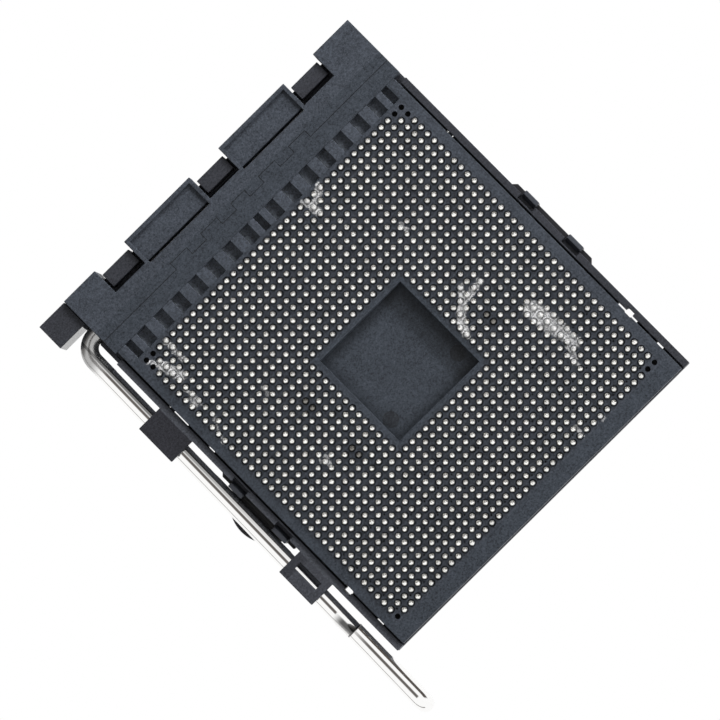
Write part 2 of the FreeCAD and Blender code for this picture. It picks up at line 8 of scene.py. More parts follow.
import json
import logging
import math
import operator
from dataclasses import dataclass
from enum import Enum
from functools import reduce
from typing import TypeAlias

import bmesh
import bpy
import numpy as np
from mathutils import Matrix, Vector

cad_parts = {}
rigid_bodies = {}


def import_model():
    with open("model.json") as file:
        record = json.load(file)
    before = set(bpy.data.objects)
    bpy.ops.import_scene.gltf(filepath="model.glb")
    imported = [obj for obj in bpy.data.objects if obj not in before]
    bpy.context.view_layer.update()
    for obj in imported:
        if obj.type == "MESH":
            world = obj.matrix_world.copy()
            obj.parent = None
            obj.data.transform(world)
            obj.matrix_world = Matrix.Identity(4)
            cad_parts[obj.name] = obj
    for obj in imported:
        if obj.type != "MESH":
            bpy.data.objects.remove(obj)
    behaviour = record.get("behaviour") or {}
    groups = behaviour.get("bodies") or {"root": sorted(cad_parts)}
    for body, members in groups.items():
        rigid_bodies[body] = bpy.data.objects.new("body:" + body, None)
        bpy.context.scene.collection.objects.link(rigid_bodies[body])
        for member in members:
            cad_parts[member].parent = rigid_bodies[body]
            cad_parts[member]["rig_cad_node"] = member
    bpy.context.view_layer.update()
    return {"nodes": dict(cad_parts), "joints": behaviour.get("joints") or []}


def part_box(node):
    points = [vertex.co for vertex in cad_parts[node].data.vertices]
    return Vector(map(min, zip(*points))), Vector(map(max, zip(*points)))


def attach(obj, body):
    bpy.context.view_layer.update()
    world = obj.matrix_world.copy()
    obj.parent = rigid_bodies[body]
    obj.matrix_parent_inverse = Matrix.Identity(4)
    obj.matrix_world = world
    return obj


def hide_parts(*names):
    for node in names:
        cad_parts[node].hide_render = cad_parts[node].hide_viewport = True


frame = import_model()

LOG = logging.getLogger("socket")
MM = 0.001
POLISH = "polish"
ZONE_EDGE = 0.12
WIRE_EDGE_RINGS = 5
WIRE_ASIDE = (0.5, 0.3, 0.81)

Colour: TypeAlias = tuple[float, float, float]
Triple: TypeAlias = tuple[float, float, float]
Pair: TypeAlias = tuple[float, float]
Level: TypeAlias = "Signal | float"
Paint: TypeAlias = "Signal | Colour"


class Signal:
    """A number or a colour that varies over a surface: a socket, with arithmetic that adds nodes."""

    MIX_FACTOR, MIX_FIRST, MIX_SECOND, MIX_RESULT = 0, 6, 7, 2

    def __init__(self, tree: "ShaderTree", socket: bpy.types.NodeSocket) -> None:
        """Wrap a socket of a tree."""
        self.tree = tree
        self.socket = socket

    def math(self, operation: str, *operands: Level, clamp: bool = False) -> "Signal":
        """Add a Math node.

        Args:
            operation: the node's operation.
            operands: its inputs, in order.
            clamp: whether the result is held between 0 and 1.

        Returns:
            The node's result.
        """
        settings = {"operation": operation, "use_clamp": clamp}
        made = self.tree.node("ShaderNodeMath", settings, dict(enumerate(operands)))
        return Signal(self.tree, made.outputs[0])

    def __add__(self, other: Level) -> "Signal":
        """Sum."""
        return self.math("ADD", self, other)

    def __sub__(self, other: Level) -> "Signal":
        """Difference."""
        return self.math("SUBTRACT", self, other)

    def __rsub__(self, other: float) -> "Signal":
        """Difference, taken from a number."""
        return self.math("SUBTRACT", other, self)

    def __mul__(self, other: Level) -> "Signal":
        """Product."""
        return self.math("MULTIPLY", self, other)

    def __abs__(self) -> "Signal":
        """Size without sign."""
        return self.math("ABSOLUTE", self)

    __radd__ = __add__
    __rmul__ = __mul__

    def larger(self, other: Level) -> "Signal":
        """The larger of the two."""
        return self.math("MAXIMUM", self, other)

    def held(self) -> "Signal":
        """The same, held between 0 and 1."""
        return self.math("ADD", self, 0.0, clamp=True)

    def rise(self, low: float, high: float) -> "Signal":
        """Make a smooth step, which falls where low is above high.

        Args:
            low: where it is 0.
            high: where it is 1.

        Returns:
            A signal from 0 to 1.
        """
        inputs = {"Value": self, "From Min": low, "From Max": high}
        if low > high:
            inputs = {"Value": self, "From Min": high, "From Max": low, "To Min": 1.0, "To Max": 0.0}
        made = self.tree.node("ShaderNodeMapRange", {"interpolation_type": "SMOOTHSTEP"}, inputs)
        return Signal(self.tree, made.outputs[0])

    def between(self, low: float, high: float, soft: float) -> "Signal":
        """1 from low to high and 0 outside, with soft edges of the given width."""
        half = soft / 2
        return self.rise(low - half, low + half) * self.rise(high + half, high - half)

    def mixed(self, first: Paint, second: Paint) -> "Signal":
        """Mix two colours, with this as the factor.

        Args:
            first: the colour where this is 0.
            second: the colour where this is 1.

        Returns:
            The colour.
        """
        sides = [side if isinstance(side, Signal) else (*side, 1.0) for side in (first, second)]
        inputs = {self.MIX_FACTOR: self, self.MIX_FIRST: sides[0], self.MIX_SECOND: sides[1]}
        made = self.tree.node("ShaderNodeMix", {"data_type": "RGBA", "clamp_factor": True}, inputs)
        return Signal(self.tree, made.outputs[self.MIX_RESULT])

    def times(self, colour: Paint) -> "Place":
        """A colour times this number."""
        source = colour if isinstance(colour, Signal) else self.tree.fixed(colour)
        return Place(self.tree, source.socket).scaled(self)


class Place(Signal):
    """A position or a colour that varies over a surface: its arithmetic adds Vector Math nodes."""

    def vector(self, operation: str, output: str, inputs: dict) -> bpy.types.NodeSocket:
        """Add a Vector Math node on this position and give one of its outputs."""
        made = self.tree.node("ShaderNodeVectorMath", {"operation": operation}, {0: self, **inputs})
        return made.outputs[output]

    def __add__(self, other: "Place | tuple") -> "Place":
        """Sum."""
        return Place(self.tree, self.vector("ADD", "Vector", {1: other}))

    def __sub__(self, other: "Place | tuple") -> "Place":
        """Difference."""
        return Place(self.tree, self.vector("SUBTRACT", "Vector", {1: other}))

    def __mul__(self, other: "Place | tuple") -> "Place":
        """Product, coordinate by coordinate."""
        return Place(self.tree, self.vector("MULTIPLY", "Vector", {1: other}))

    def scaled(self, factor: Level) -> "Place":
        """The vector times one number."""
        return Place(self.tree, self.vector("SCALE", "Vector", {"Scale": factor}))

    def dot(self, other: tuple) -> Signal:
        """The dot product with a fixed vector."""
        return Signal(self.tree, self.vector("DOT_PRODUCT", "Value", {1: other}))

    def length(self) -> Signal:
        """The vector's length."""
        return Signal(self.tree, self.vector("LENGTH", "Value", {}))

    def parts(self) -> list[Signal]:
        """The three coordinates."""
        made = self.tree.node("ShaderNodeSeparateXYZ", {}, {0: self})
        return [Signal(self.tree, output) for output in made.outputs]

    def noise(self, per_mm: float, detail: float = 2.0) -> Signal:
        """Cloudy noise with so many cells a millimetre, about 0.5 on average."""
        inputs = {"Vector": self, "Scale": per_mm, "Detail": detail}
        return Signal(self.tree, self.tree.node("ShaderNodeTexNoise", {}, inputs).outputs[0])

    def ripple(self, per_mm: float, detail: float, half: float) -> Signal:
        """Noise that swings about 0, by up to half on either side."""
        return (self.noise(per_mm, detail) - 0.5) * (2 * half)


class ShaderTree:
    """The node tree of a material or a world, and the one way by which nodes are added to it."""

    def __init__(self, owner: "bpy.types.Material | bpy.types.World") -> None:
        """Empty a tree.

        Args:
            owner: the material or the world that it belongs to.
        """
        owner.use_nodes = True
        self.tree = owner.node_tree
        self.tree.nodes.clear()

    def node(self, kind: str, settings: dict, inputs: dict) -> bpy.types.Node:
        """Add a node.

        Args:
            kind: the node's type.
            settings: its own properties, set before its sockets.
            inputs: values, signals or whole nodes by the socket's name or number.

        Returns:
            The new node.
        """
        made = self.tree.nodes.new(kind)
        for name, value in settings.items():
            setattr(made, name, value)
        for key, value in inputs.items():
            if isinstance(value, Signal):
                self.tree.links.new(value.socket, made.inputs[key])
            elif isinstance(value, bpy.types.Node):
                self.tree.links.new(value.outputs[0], made.inputs[key])
            else:
                made.inputs[key].default_value = value
        return made

    def millimetres(self) -> Place:
        """The surface's own place, in millimetres."""
        made = self.node("ShaderNodeTexCoord", {}, {})
        return Place(self, made.outputs["Object"]).scaled(1 / MM)

    def fixed(self, values: tuple) -> Place:
        """A vector that is the same everywhere."""
        made = self.node("ShaderNodeCombineXYZ", {}, dict(enumerate(values)))
        return Place(self, made.outputs[0])

    def bump(self, height: Signal, distance: float) -> Signal:
        """A normal from a height signal, where a height of 1 stands for the distance in millimetres."""
        made = self.node("ShaderNodeBump", {}, {"Height": height, "Distance": distance * MM})
        return Signal(self, made.outputs["Normal"])

    def surface(self, inputs: dict) -> None:
        """End the tree in one principled surface with these inputs."""
        shader = self.node("ShaderNodeBsdfPrincipled", {}, inputs)
        self.node("ShaderNodeOutputMaterial", {}, {"Surface": shader})


@dataclass(frozen=True)
class Scuff:
    """One rubbed stroke on the underside: a band about the line from start to end."""

    start: Pair
    end: Pair
    half_width: float
    strength: float = 1.0
    fade: Pair = (1.15, 0.6)

    def mask(self, place: Place) -> Signal:
        """How much of the stroke covers a place.

        The nearest point of the stroke's middle is start + t * (end - start), with t held between 0 and
        1. The mask is the strength near that point, and it falls smoothly to nothing as the distance
        passes through the fade, which is in shares of the half width.

        Args:
            place: the place on the underside, in millimetres, at height 0.

        Returns:
            A signal from 0 to the strength.
        """
        along = (self.end[0] - self.start[0], self.end[1] - self.start[1], 0.0)
        square = along[0] ** 2 + along[1] ** 2
        offset = place - (*self.start, 0.0)
        share = offset.dot(tuple(value / square for value in along)).held()
        aside = offset - place.tree.fixed(along).scaled(share)
        far, near = self.fade
        return aside.length().rise(self.half_width * far, self.half_width * near) * self.strength


@dataclass(frozen=True)
class Rubbing:
    """Where the underside is rubbed: ragged strokes, broken up by noise of several sizes."""

    scuffs: tuple[Scuff, ...]
    wander: float = 0.9
    least: float = 0.28
    broken: float = 0.5
    patchy: float = 0.4

    def mask(self, place: Place) -> Signal:
        """How rubbed a place is.

        The place wanders by coloured noise before the strokes read it, which makes their edges ragged.
        The least share shows all over a stroke. Streaks and wisps add the broken share to it, and in broad
        patches the patchy share too.

        Args:
            place: the surface's place, in millimetres.

        Returns:
            A signal from 0 to a little over 1.
        """
        clouds = place.tree.node("ShaderNodeTexNoise", {}, {"Vector": place, "Scale": 2.2})
        shift = Place(place.tree, clouds.outputs["Color"]) - (0.5, 0.5, 0.5)
        ragged = (place + shift.scaled(self.wander)) * (1.0, 1.0, 0.0)
        strokes = reduce(Signal.larger, [scuff.mask(ragged) for scuff in self.scuffs])
        streaks = (place * (1.0, 0.55, 0.5)).noise(5.5, 3.0).rise(0.44, 0.6)
        wisps = abs(place.noise(2.2, 3.0) - 0.5).rise(0.05, 0.015)
        patches = place.noise(0.9).rise(0.3, 0.65)
        return strokes * (self.least + streaks.larger(wisps) * (self.broken + patches * self.patchy))


RUBBING = Rubbing(
    (
        Scuff((-13.8, -6.0), (-14.1, -8.2), 1.05),
        Scuff((-14.1, -8.2), (-14.3, -9.9), 0.9),
        Scuff((-14.3, -9.9), (-14.5, -11.6), 0.7),
        Scuff((-13.9, -11.4), (-13.1, -13.2), 0.42, 0.85),
        Scuff((-7.0, -3.0), (-7.6, -1.5), 0.45),
        Scuff((-7.6, -1.5), (-9.0, -0.4), 0.5),
        Scuff((-9.0, -0.4), (-10.1, 1.0), 0.4, 0.9),
        Scuff((-9.2, -0.3), (-12.0, 0.0), 0.4, 0.85),
        Scuff((18.9, 18.6), (18.2, 17.5), 0.3, 0.9),
        Scuff((18.2, 17.5), (17.8, 16.0), 0.6),
        Scuff((17.8, 16.0), (17.5, 15.2), 0.65, 0.9),
        Scuff((16.1, 19.2), (16.1, 16.3), 0.32, 0.8),
        Scuff((18.3, 12.7), (18.3, 12.1), 0.55, 0.8),
        Scuff((18.2, 13.8), (18.3, 12.7), 0.2, 0.7),
        Scuff((-4.7, 19.0), (-5.0, 17.2), 0.42, 0.95),
        Scuff((-5.0, 18.0), (-7.0, 19.2), 0.38, 0.9),
        Scuff((18.0, 10.0), (19.3, 7.0), 0.16, 0.5),
        Scuff((12.3, 8.3), (12.3, 7.3), 0.2, 0.6),
        Scuff((12.5, -1.6), (12.9, -2.6), 0.25, 0.7),
        Scuff((13.3, -1.7), (12.9, -2.4), 0.2, 0.6),
        Scuff((-10.3, 10.2), (-10.3, 9.3), 0.25, 0.7),
        Scuff((-8.3, -17.8), (-8.3, -19.0), 0.22, 0.6),
        Scuff((-11.0, -19.1), (-11.0, -19.4), 0.3, 0.5),
    )
)


class Zone(Enum):
    """Rectangles of the underside, as low X, high X, low Y, high Y."""

    BALL_FIELD = (-19.55, 19.55, -19.6, 19.62)
    MIDDLE_RIM = (-6.5, 6.5, -6.5, 6.5)
    POCKET_ROW = (-19.45, 20.2, 19.8, 21.8)
    HEAD_EDGE = (-22.0, 21.5, 24.8, 30.5)
    FAR_RIM = (-22.0, -19.7, -22.0, 21.8)
    BEND_LEDGE = (21.65, 25.0, 9.3, 14.6)
    SLOT_LEDGE = (21.65, 25.0, -14.0, -8.0)
    LEVER_RAIL = (20.85, 21.65, -22.0, 22.0)

    def mask(self, x: Signal, y: Signal) -> Signal:
        """1 inside the rectangle and 0 outside."""
        low_x, high_x, low_y, high_y = self.value
        return x.between(low_x, high_x, ZONE_EDGE) * y.between(low_y, high_y, ZONE_EDGE)


class Finish:
    """A finish of the socket, as one principled surface."""

    def inputs(self, place: Place) -> dict:
        """What the surface's sockets get, by their names, at a place in millimetres."""
        raise NotImplementedError

    def material(self, name: str) -> bpy.types.Material:
        """Make the finish.

        Args:
            name: the material's name.

        Returns:
            The material.
        """
        made = bpy.data.materials.new(name)
        tree = ShaderTree(made)
        tree.surface(self.inputs(tree.millimetres()))
        return made


@dataclass(frozen=True)
class Moulding(Finish):
    """Glass-filled plastic as it comes out of the mould: mottled, flecked and faintly rough."""

    colour: Colour
    roughness: float = 0.5
    sheen_level: float = 0.25
    mottle: float = 0.3
    fleck: float = 0.8
    speck: float = 0.5
    rub_colour: Colour = (0.9, 0.9, 0.91)
    rub_cover: float = 0.95
    rub_roughness: float = 0.2
    relief: float = 0.012

    def paint(self, place: Place) -> Paint:
        """The plastic's colour before its grain and scuffs."""
        return self.colour

    def rubbed(self, place: Place) -> "Signal | None":
        """Where the plastic is scuffed, or None."""
        return None

    def polish(self, place: Place) -> Level:
        """How much smoother the surface is in places."""
        return 0.0

    def grain(self, place: Place) -> Signal:
        """A factor about 1: broad clouds, flecks and fine specks."""
        clouds = place.ripple(0.45, 3.0, self.mottle)
        return 1.0 + clouds + place.ripple(4.0, 2.0, self.fleck) + place.ripple(8.0, 1.0, self.speck)

    def inputs(self, place: Place) -> dict:
        """The paint times the grain, under the scuffs, with a fine relief.

        Args:
            place: the surface's place, in millimetres.

        Returns:
            What the surface's sockets get, by their names.
        """
        colour = self.grain(place).times(self.paint(place))
        rough = self.roughness + place.ripple(3.0, 2.0, 0.1) - self.polish(place)
        rubbed = self.rubbed(place)
        if rubbed is not None:
            colour = (rubbed * self.rub_cover).mixed(colour, self.rub_colour)
            rough = rough + rubbed * self.rub_roughness
        return {
            "Base Color": colour,
            "Roughness": rough,
            "Specular IOR Level": self.sheen_level,
            "Normal": place.tree.bump(place.noise(7.0, 3.0), self.relief),
        }


@dataclass(frozen=True)
class BaseMoulding(Moulding):
    """The base's plastic, with its zones of tone, painted shade and light, and the scuffs across the
    balls.
    """

    # Painted light: the ball field is lighter than the rims, to lift it against the balls' shadows.
    lit_field_colour: Colour = (0.052, 0.059, 0.073)
    bar_colour: Colour = (0.064, 0.073, 0.09)
    # Near black: painted shade in the ball pits, and the dark marks in the recess and the parting line.
    mark_and_shade_colour: Colour = (0.014, 0.0125, 0.012)
    pale_colour: Colour = (0.055, 0.063, 0.078)
    # Painted light on the floors of the front pockets, which lie in shade.
    lit_pocket_floor_colour: Colour = (0.132, 0.146, 0.17)
    far_rim_paleness: float = 0.6
    # Painted shade down in the ball pits.
    pit_shade_height: Pair = (0.5, 0.75)
    pit_shade_darkness: float = 0.85
    pocket_floor: Pair = (0.8, 0.9)
    seam_y: Triple = (23.4, 24.7, 0.05)
    seam_z: Triple = (0.36, 0.5, 0.02)
    seam_darkness: float = 0.85
    mark_height: Pair = (1.615, 1.635)
    mark_darkness: float = 0.45
    recess_height: Pair = (1.325, 1.425)
    # Painted shade in the recess towards its walls, and a painted shadow along a band near -X.
    recess_wall_shade: Pair = (4.3, 5.9)
    recess_wall_shade_darkness: float = 0.3
    recess_shadow_band: Triple = (-5.1, -3.0, 1.6)
    recess_shadow_band_darkness: float = 0.46
    rubbed_height: Pair = (1.1, 1.0)

    def paint(self, place: Place) -> Signal:
        """Zone by zone, from the rims inwards.

        The ball field is lighter than the rims, by painted light against the balls' shadows, the bars
        between the front pockets are lighter, and the head's edge and the far rim are paler. The ball pits
        go towards black by painted shade, and the marks in the recess and the head's parting line go
        towards black. The recess has painted shade towards its edges and a painted shadow along a band
        near -X. The pockets' floors are palest, by painted light.

        Args:
            place: the surface's place, in millimetres.

        Returns:
            The colour.
        """
        x, y, z = place.parts()
        middle, row = Zone.MIDDLE_RIM.mask(x, y), Zone.POCKET_ROW.mask(x, y)
        balls = Zone.BALL_FIELD.mask(x, y) * (1.0 - middle)
        # Painted light lifts the ball field against the balls' shadows; the bars between the pockets are
        # lighter.
        colour = row.mixed(balls.mixed(self.colour, self.lit_field_colour), self.bar_colour)
        pale = Zone.HEAD_EDGE.mask(x, y).larger(Zone.FAR_RIM.mask(x, y) * self.far_rim_paleness)
        colour = pale.mixed(colour, self.pale_colour)
        seam = y.between(*self.seam_y) * z.between(*self.seam_z) * self.seam_darkness
        # Painted shade in the ball pits; the recess marks and the parting line are dark marks.
        pits = balls * z.rise(*self.pit_shade_height) * self.pit_shade_darkness
        marks = middle * z.rise(*self.mark_height) * self.mark_darkness
        colour = pits.larger(marks).larger(seam).mixed(colour, self.mark_and_shade_colour)
        # Painted shade towards the recess walls and a painted shadow along a band near -X.
        edges = abs(x).larger(abs(y)).rise(*self.recess_wall_shade) * self.recess_wall_shade_darkness
        dim = edges + x.between(*self.recess_shadow_band) * self.recess_shadow_band_darkness
        colour = (1.0 - middle * z.rise(*self.recess_height) * dim).times(colour)
        # Painted light on the front pockets' floors.
        return (row * z.rise(*self.pocket_floor)).mixed(colour, self.lit_pocket_floor_colour)

    def rubbed(self, place: Place) -> Signal:
        """The scuffs, down to the floors of the ball pits."""
        return RUBBING.mask(place) * place.parts()[2].rise(*self.rubbed_height)


@dataclass(frozen=True)
class CoverMoulding(Moulding):
    """The cover's plastic, darker on the ledge by the bend and paler on the rail along the lever.

    The tall front wall of its ear drags along the mould and is smooth.
    """

    shaded_colour: Colour = (0.026, 0.0265, 0.0325)
    lit_colour: Colour = (0.078, 0.083, 0.098)
    slot_ledge_lit: float = 0.5
    wall_x: Pair = (21.3, 21.4)
    wall_y: Triple = (26.365, 26.455, 0.03)
    wall_polish: float = 0.4

    def paint(self, place: Place) -> Signal:
        """One colour with the dark ledge and the pale rail.

        Args:
            place: the surface's place, in millimetres.

        Returns:
            The colour.
        """
        x, y, _ = place.parts()
        colour = Zone.BEND_LEDGE.mask(x, y).mixed(self.colour, self.shaded_colour)
        lit = Zone.LEVER_RAIL.mask(x, y).larger(Zone.SLOT_LEDGE.mask(x, y) * self.slot_ledge_lit)
        return lit.mixed(colour, self.lit_colour)

    def polish(self, place: Place) -> Signal:
        """How much smoother the ear's front wall is."""
        x, y, _ = place.parts()
        return x.rise(*self.wall_x) * y.between(*self.wall_y) * self.wall_polish


@dataclass(frozen=True)
class CapMoulding(Moulding):
    """The cap's satin black, with painted light on the lower part of its hooks."""

    # Painted light on the lower part of the hooks.
    lit_hook_colour: Colour = (0.058, 0.063, 0.076)
    hook_height: Pair = (2.6, 2.4)

    def paint(self, place: Place) -> Signal:
        """One colour, with painted light on the hooks below the hooks' height."""
        return place.parts()[2].rise(*self.hook_height).mixed(self.colour, self.lit_hook_colour)


@dataclass(frozen=True)
class Solder(Finish):
    """Reflowed solder: bright and slightly dimpled, and whiter and duller where it is rubbed."""

    bright: Colour = (0.98, 0.975, 0.94)
    dull: Colour = (0.13, 0.12, 0.105)
    worn: Colour = (0.8, 0.8, 0.8)
    roughness: float = 0.12
    dimple: float = 0.06

    def inputs(self, place: Place) -> dict:
        """Between dull and bright as each ball's polish attribute says, with stains and scuffs.

        Args:
            place: the surface's place, in millimetres.

        Returns:
            What the surface's sockets get, by their names.
        """
        attribute = place.tree.node("ShaderNodeAttribute", {"attribute_name": POLISH}, {})
        polish = Signal(place.tree, attribute.outputs["Fac"])
        rubbed = RUBBING.mask(place)
        stains = place.noise(5.0).rise(0.60, 0.72) * 0.5
        colour = stains.mixed(polish.mixed(self.dull, self.bright), self.dull)
        return {
            "Base Color": rubbed.mixed(colour, self.worn),
            "Metallic": 1.0 - rubbed * 0.6,
            "Roughness": self.roughness + stains * 0.4 + rubbed * 0.3,
            "Normal": place.tree.bump(place.noise(3.5, 1.0), self.dimple),
        }


@dataclass(frozen=True)
class Metal(Finish):
    """Plated or stamped steel with fine marks along one direction."""

    colour: Colour
    roughness: float
    stretch: Triple
    marks: float
    bump: float

    def painted_shade_and_reflection(self, place: Place) -> Level:
        """How much darker the metal is in places, by painted shade and painted dark reflections."""
        return 0.0

    def film(self, place: Place) -> Level:
        """How much of the metal a pale film hides in places."""
        return 0.0

    def inputs(self, place: Place) -> dict:
        """The metal's colour, darker by its marks, its clouds and its painted shade, under the film.

        Args:
            place: the surface's place, in millimetres.

        Returns:
            What the surface's sockets get, by their names.
        """
        drawn = (place * self.stretch).noise(6.0, 3.0)
        clouds = place.noise(0.6).rise(0.55, 0.8) * (self.marks * 0.6)
        # Painted shade and reflections, where the finish has them, darken the colour with the marks.
        shade = 1.0 - drawn.rise(0.55, 0.8) * self.marks - clouds - self.painted_shade_and_reflection(place)
        film = self.film(place)
        return {
            "Base Color": shade.times(self.colour),
            "Metallic": 1.0 - film,
            "Roughness": self.roughness + (drawn - 0.5) * 0.12 + film * 0.8,
            "Normal": place.tree.bump(drawn, self.bump),
        }


@dataclass(frozen=True)
class Patch:
    """Part of the lever's arm: smooth steps outwards across it and along Y, and a strength."""

    across: tuple[Pair, ...]
    along: tuple[Pair, ...]
    strength: float

    def mask(self, aside: Signal, y: Signal) -> Signal:
        """The product of the steps and the strength."""
        steps = [aside.rise(*step) for step in self.across] + [y.rise(*step) for step in self.along]
        return reduce(operator.mul, steps) * self.strength


@dataclass(frozen=True)
class PolishedWire(Metal):
    """Bright wire, duller on the arm's side towards the socket, on its jog and at its bend.

    There a film makes it less metallic and rougher, and painted shade and dark reflections darken it.
    """

    root_x: float = 23.12
    cam_y: float = 25.0
    lean: float = 0.0086
    # Painted shade and painted dark reflections: inside the arm's middle, the jog's outer half, its end
    # and the bend.
    dull: tuple[Patch, ...] = (
        Patch(((-0.1, -0.3), (-0.72, -0.5)), ((-14.0, 16.0),), 0.8),
        Patch(((-0.15, 0.05), (0.85, 0.4)), ((-14.0, -15.3), (-17.0, -16.9)), 0.88),
        Patch((), ((-17.01, -16.89), (-16.64, -16.76)), 0.88),
        Patch((), ((21.5, 23.3),), 0.5),
    )
    filmed: tuple[Patch, ...] = (
        Patch(((-0.4, -0.7),), (), 0.03),
        Patch(((-0.15, 0.1),), ((-14.0, -15.0), (-17.0, -16.9)), 0.15),
        Patch((), ((20.5, 22.5),), 0.2),
    )

    def strongest(self, patches: tuple[Patch, ...], place: Place) -> Signal:
        """Find the strongest of some patches.

        Args:
            patches: the patches.
            place: the surface's place, in millimetres.

        Returns:
            A signal from 0 to the largest strength.
        """
        x, y, _ = place.parts()
        aside = x - self.root_x + (y - self.cam_y) * self.lean
        return reduce(Signal.larger, [patch.mask(aside, y) for patch in patches])

    def painted_shade_and_reflection(self, place: Place) -> Signal:
        """Painted shade and painted dark reflections on the arm.

        They lie just inside the arm's middle, on the jog's outer half and its end, and at the bend.
        """
        return self.strongest(self.dull, place)

    def film(self, place: Place) -> Signal:
        """A thin pale film on the inner side and on the jog, and a satin bend."""
        return self.strongest(self.filmed, place)


@dataclass
class Surface:
    """Points of a mesh in millimetres, and its faces in groups that have as many corners each."""

    points: np.ndarray
    faces: list[np.ndarray]
    smooth: bool = True

    def volume(self) -> float:
        """The signed volume: a sixth of the sum of a . (b x c) over each face's fan of triangles."""
        fans = [self.points[group] for group in self.faces]
        return sum(np.einsum("ik,ijk->", c[:, 0], np.cross(c[:, 1:-1], c[:, 2:])) for c in fans) / 6

    def outward(self) -> "Surface":
        """The same surface, with every face turned if they point inwards."""
        turn = -1 if self.volume() < 0 else 1
        return Surface(self.points, [group[:, ::turn] for group in self.faces], self.smooth)

    def repeated(self, places: np.ndarray, scales: "np.ndarray | float" = 1.0) -> "Surface":
        """Copies of the surface, each at points * scale + place.

        Args:
            places: one row of X, Y, Z for each copy.
            scales: one number for all, or a row of X, Y, Z for each copy.

        Returns:
            One surface with all copies, in order.
        """
        count, size = len(places), len(self.points)
        grown = np.broadcast_to(np.asarray(scales, float), places.shape)
        points = self.points[None] * grown[:, None] + places[:, None]
        shifts = (np.arange(count) * size)[:, None, None]
        faces = [(group[None] + shifts).reshape(-1, group.shape[1]) for group in self.faces]
        return Surface(points.reshape(-1, 3), faces, self.smooth)

    def joined(self, *others: "Surface") -> "Surface":
        """Put surfaces side by side in one.

        Args:
            others: the surfaces to add to this one.

        Returns:
            One surface.
        """
        every = [self, *others]
        starts = np.cumsum([0] + [len(one.points) for one in every])
        faces = [group + start for one, start in zip(every, starts) for group in one.faces]
        return Surface(np.concatenate([one.points for one in every]), faces, self.smooth)

    def mesh(self, name: str) -> bpy.types.Mesh:
        """Make a mesh, in metres.

        Args:
            name: the mesh's name.

        Returns:
            The mesh.
        """
        corners = np.concatenate([group.ravel() for group in self.faces]).astype(np.int32)
        sizes = np.concatenate([np.full(len(group), group.shape[1]) for group in self.faces])
        starts = (np.cumsum(sizes) - sizes).astype(np.int32)
        made = bpy.data.meshes.new(name)
        made.vertices.add(len(self.points))
        made.vertices.foreach_set("co", (self.points * MM).astype(np.float32).ravel())
        made.loops.add(len(corners))
        made.loops.foreach_set("vertex_index", corners)
        made.polygons.add(len(sizes))
        made.polygons.foreach_set("loop_start", starts)
        made.polygons.foreach_set("use_smooth", np.full(len(sizes), self.smooth))
        made.update(calc_edges=True)
        return made


def grid_faces(rows: int, columns: int) -> np.ndarray:
    """Join the rows of a grid of points whose columns close into rings.

    Args:
        rows: the number of rings.
        columns: the points in a ring.

    Returns:
        Rows of four corners.
    """
    row, column = np.mgrid[0 : rows - 1, 0:columns]
    following = (column + 1) % columns
    corners = (row * columns + column, row * columns + following)
    above = ((row + 1) * columns + following, (row + 1) * columns + column)
    return np.stack([*corners, *above], axis=-1).reshape(-1, 4)


def closed_rings(rings: np.ndarray, smooth: bool = True) -> Surface:
    """Close a surface through rings of points, with a flat face over the first and the last ring.

    Args:
        rings: an array of rings by points by X, Y, Z.
        smooth: whether its faces are shaded as one.

    Returns:
        The surface, with its faces outwards.
    """
    rows, columns = rings.shape[:2]
    first = np.arange(columns)[None, ::-1]
    last = np.arange(columns)[None] + (rows - 1) * columns
    faces = [grid_faces(rows, columns), first, last]
    return Surface(rings.reshape(-1, 3), faces, smooth).outward()


def round_bar(radius: float, low: float, high: float, sides: int) -> Surface:
    """An upright prism about the Z axis, with its points at radius * (cos a, sin a).

    Args:
        radius: the prism's radius.
        low: its bottom.
        high: its top.
        sides: how many sides it has.

    Returns:
        The closed prism.
    """
    turn = np.arange(sides) * math.tau / sides
    ring = np.stack([np.cos(turn) * radius, np.sin(turn) * radius, np.zeros(sides)], axis=-1)
    levels = np.array([[0, 0, low], [0, 0, high]])
    return closed_rings(ring[None] + levels[:, None])


def ball(rings: int, sides: int) -> Surface:
    """A ball of radius 1: rings at heights -cos b with radius sin b, and a point at each pole.

    Args:
        rings: how many steps it has from pole to pole.
        sides: the points in a ring.

    Returns:
        The closed ball.
    """
    rise = np.arange(1, rings) * math.pi / rings
    turn = np.arange(sides) * math.tau / sides
    rise, turn = np.meshgrid(rise, turn, indexing="ij")
    width = np.sin(rise)
    points = np.stack([width * np.cos(turn), width * np.sin(turn), -np.cos(rise)], axis=-1)
    count = (rings - 1) * sides
    near = np.arange(sides)
    following = (near + 1) % sides
    far = near + count - sides
    bottom = np.stack([np.full(sides, count), following, near], axis=-1)
    top = np.stack([np.full(sides, count + 1), far, following + count - sides], axis=-1)
    poles = np.array([[0, 0, -1.0], [0, 0, 1.0]])
    faces = [grid_faces(rings - 1, sides), bottom, top]
    return Surface(np.concatenate([points.reshape(-1, 3), poles]), faces).outward()


def ribbon(route: np.ndarray, width: float, low: float, high: float) -> Surface:
    """A bar of rectangular section along a route of right-angled turns in the XY plane.

    Each point of the route moves aside by half the width times the sum of the normals of the runs that
    meet there, which keeps every run as wide.

    Args:
        route: rows of X, Y.
        width: the bar's width.
        low: its bottom.
        high: its top.

    Returns:
        The closed bar.
    """
    runs = np.diff(route, axis=0)
    runs /= np.linalg.norm(runs, axis=1)[:, None]
    normals = np.stack([-runs[:, 1], runs[:, 0]], axis=-1)
    before = np.concatenate([normals[:1] * 0, normals])
    after = np.concatenate([normals, normals[-1:] * 0])
    aside = (before + after) * width / 2
    corners = [(route + aside, low), (route + aside, high), (route - aside, high), (route - aside, low)]
    sides = [np.column_stack([plan, np.full(len(plan), level)]) for plan, level in corners]
    return closed_rings(np.stack(sides, axis=1), smooth=False)


